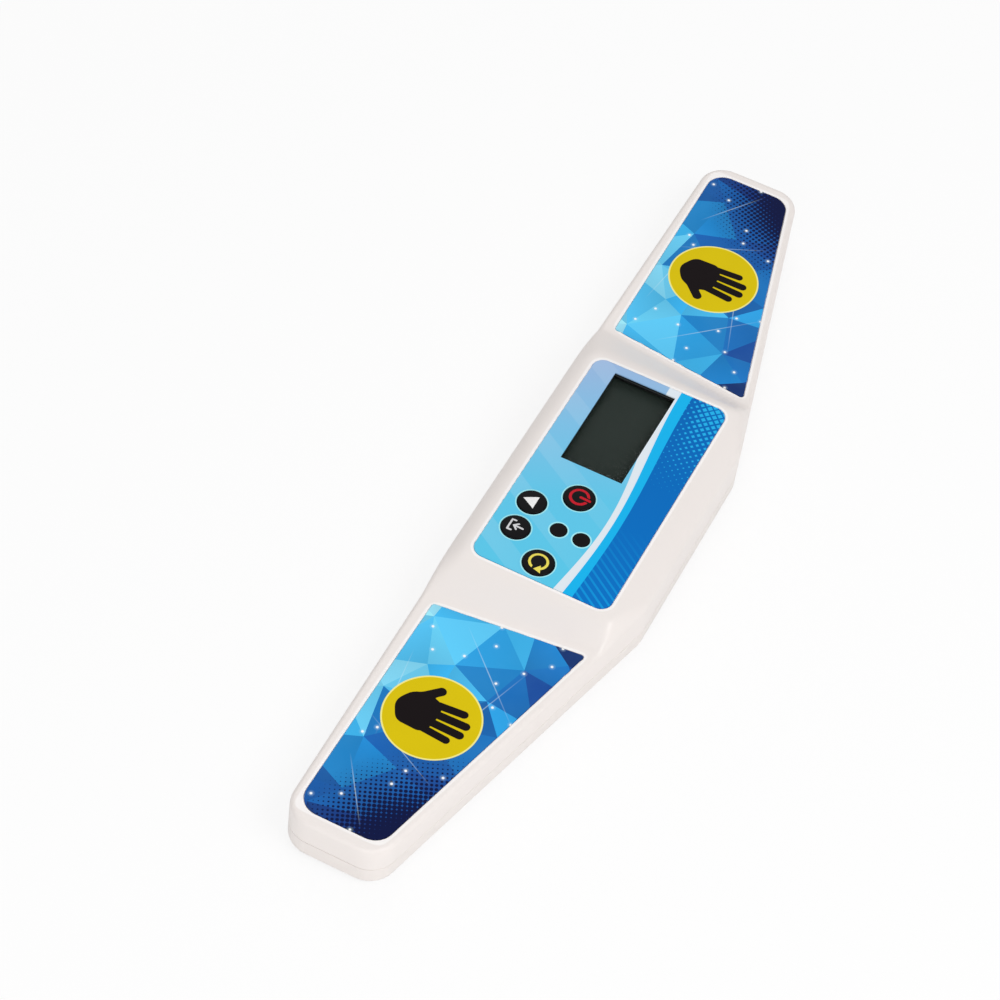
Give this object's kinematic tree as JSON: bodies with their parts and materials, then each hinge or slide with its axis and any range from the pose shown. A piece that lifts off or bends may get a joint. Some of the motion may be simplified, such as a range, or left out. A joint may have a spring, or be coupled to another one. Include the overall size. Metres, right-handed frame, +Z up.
{
  "type": "speed cube timer",
  "caption": "Long flat speed cube timer: white case with a raised middle carrying a display and round keys, a blue printed touch pad with a hand sign on each wing, and a sliding battery door.",
  "frame": {"origin": "centre of the bounding box on the table plane, under the rubber feet", "axes": "+X along the case to the user's right, +Y away from the user, +Z up"},
  "size_m": [0.274, 0.056, 0.0217],
  "materials": {
    "case_plastic": "fine satin moulded ABS",
    "base_plastic": "fine satin moulded ABS",
    "pad_film": "printed film",
    "electrode": "bare sheet",
    "panel_film": "printed film",
    "bezel_plastic": "moulded black frame",
    "clear_lens": "clear acrylic",
    "display_glass": "dark display glass",
    "holder_plastic": "moulded",
    "zebra_rubber": "layered conductive rubber",
    "board_laminate": "solder mask",
    "chip_resin": "potting resin",
    "can_metal": "tinned can",
    "switch_body": "moulded",
    "lamp_resin": "tinted resin",
    "lamp_window": "dark translucent plastic",
    "power_key": "glossy with a red ring and bar",
    "mode_key": "glossy with a white triangle",
    "save_key": "glossy with a white arrow over a tray",
    "reset_key": "glossy with a yellow turning arrow",
    "plunger_plastic": "moulded",
    "socket_plastic": "moulded",
    "door_plastic": "fine satin moulded ABS",
    "cell_jacket": "printed steel jacket",
    "contact_metal": "nickel plated",
    "screw_metal": "zinc plated",
    "foot_rubber": "matt",
    "lead_sheath": "PVC insulation"
  },
  "bodies": {
    "case": {"upper_shell": "case_plastic", "lower_shell": "base_plastic", "left_hand_pad": "pad_film", "right_hand_pad": "pad_film", "left_touch_plate": "electrode", "right_touch_plate": "electrode", "control_panel": "panel_film", "window_bezel": "bezel_plastic", "window_lens": "clear_lens", "display_cell": "display_glass", "display_holder": "holder_plastic", "zebra_strips": "zebra_rubber", "main_board": "board_laminate", "timer_chip": "chip_resin", "quartz_crystal": "can_metal", "tact_switches": "switch_body", "status_leds": "lamp_resin", "light_windows": "lamp_window", "data_socket": "socket_plastic", "battery_cells": "cell_jacket", "battery_springs": "contact_metal", "battery_contacts": "contact_metal", "case_screws": "screw_metal", "board_screws": "screw_metal", "rubber_feet": "foot_rubber", "left_sensor_lead": "lead_sheath", "right_sensor_lead": "lead_sheath"},
    "power_key": {"power_button": "power_key", "power_plunger": "plunger_plastic"},
    "mode_key": {"mode_button": "mode_key", "mode_plunger": "plunger_plastic"},
    "save_key": {"save_button": "save_key", "save_plunger": "plunger_plastic"},
    "reset_key": {"reset_button": "reset_key", "reset_plunger": "plunger_plastic"},
    "battery_door": {"battery_door": "door_plastic"}
  },
  "joints": [
    {"name": "power_press", "type": "slide", "parent": "case", "child": "power_key", "axis": [0, 0, -1], "range_m": [0, 0.0005], "stiffness_N_per_m": 1200},
    {"name": "mode_press", "type": "slide", "parent": "case", "child": "mode_key", "axis": [0, 0, -1], "range_m": [0, 0.0005], "stiffness_N_per_m": 1200},
    {"name": "save_press", "type": "slide", "parent": "case", "child": "save_key", "axis": [0, 0, -1], "range_m": [0, 0.0005], "stiffness_N_per_m": 1200},
    {"name": "reset_press", "type": "slide", "parent": "case", "child": "reset_key", "axis": [0, 0, -1], "range_m": [0, 0.0005], "stiffness_N_per_m": 1200},
    {"name": "battery_door_slide", "type": "slide", "parent": "case", "child": "battery_door", "axis": [0, -1, 0], "range_m": [0, 0.041]}
  ]
}
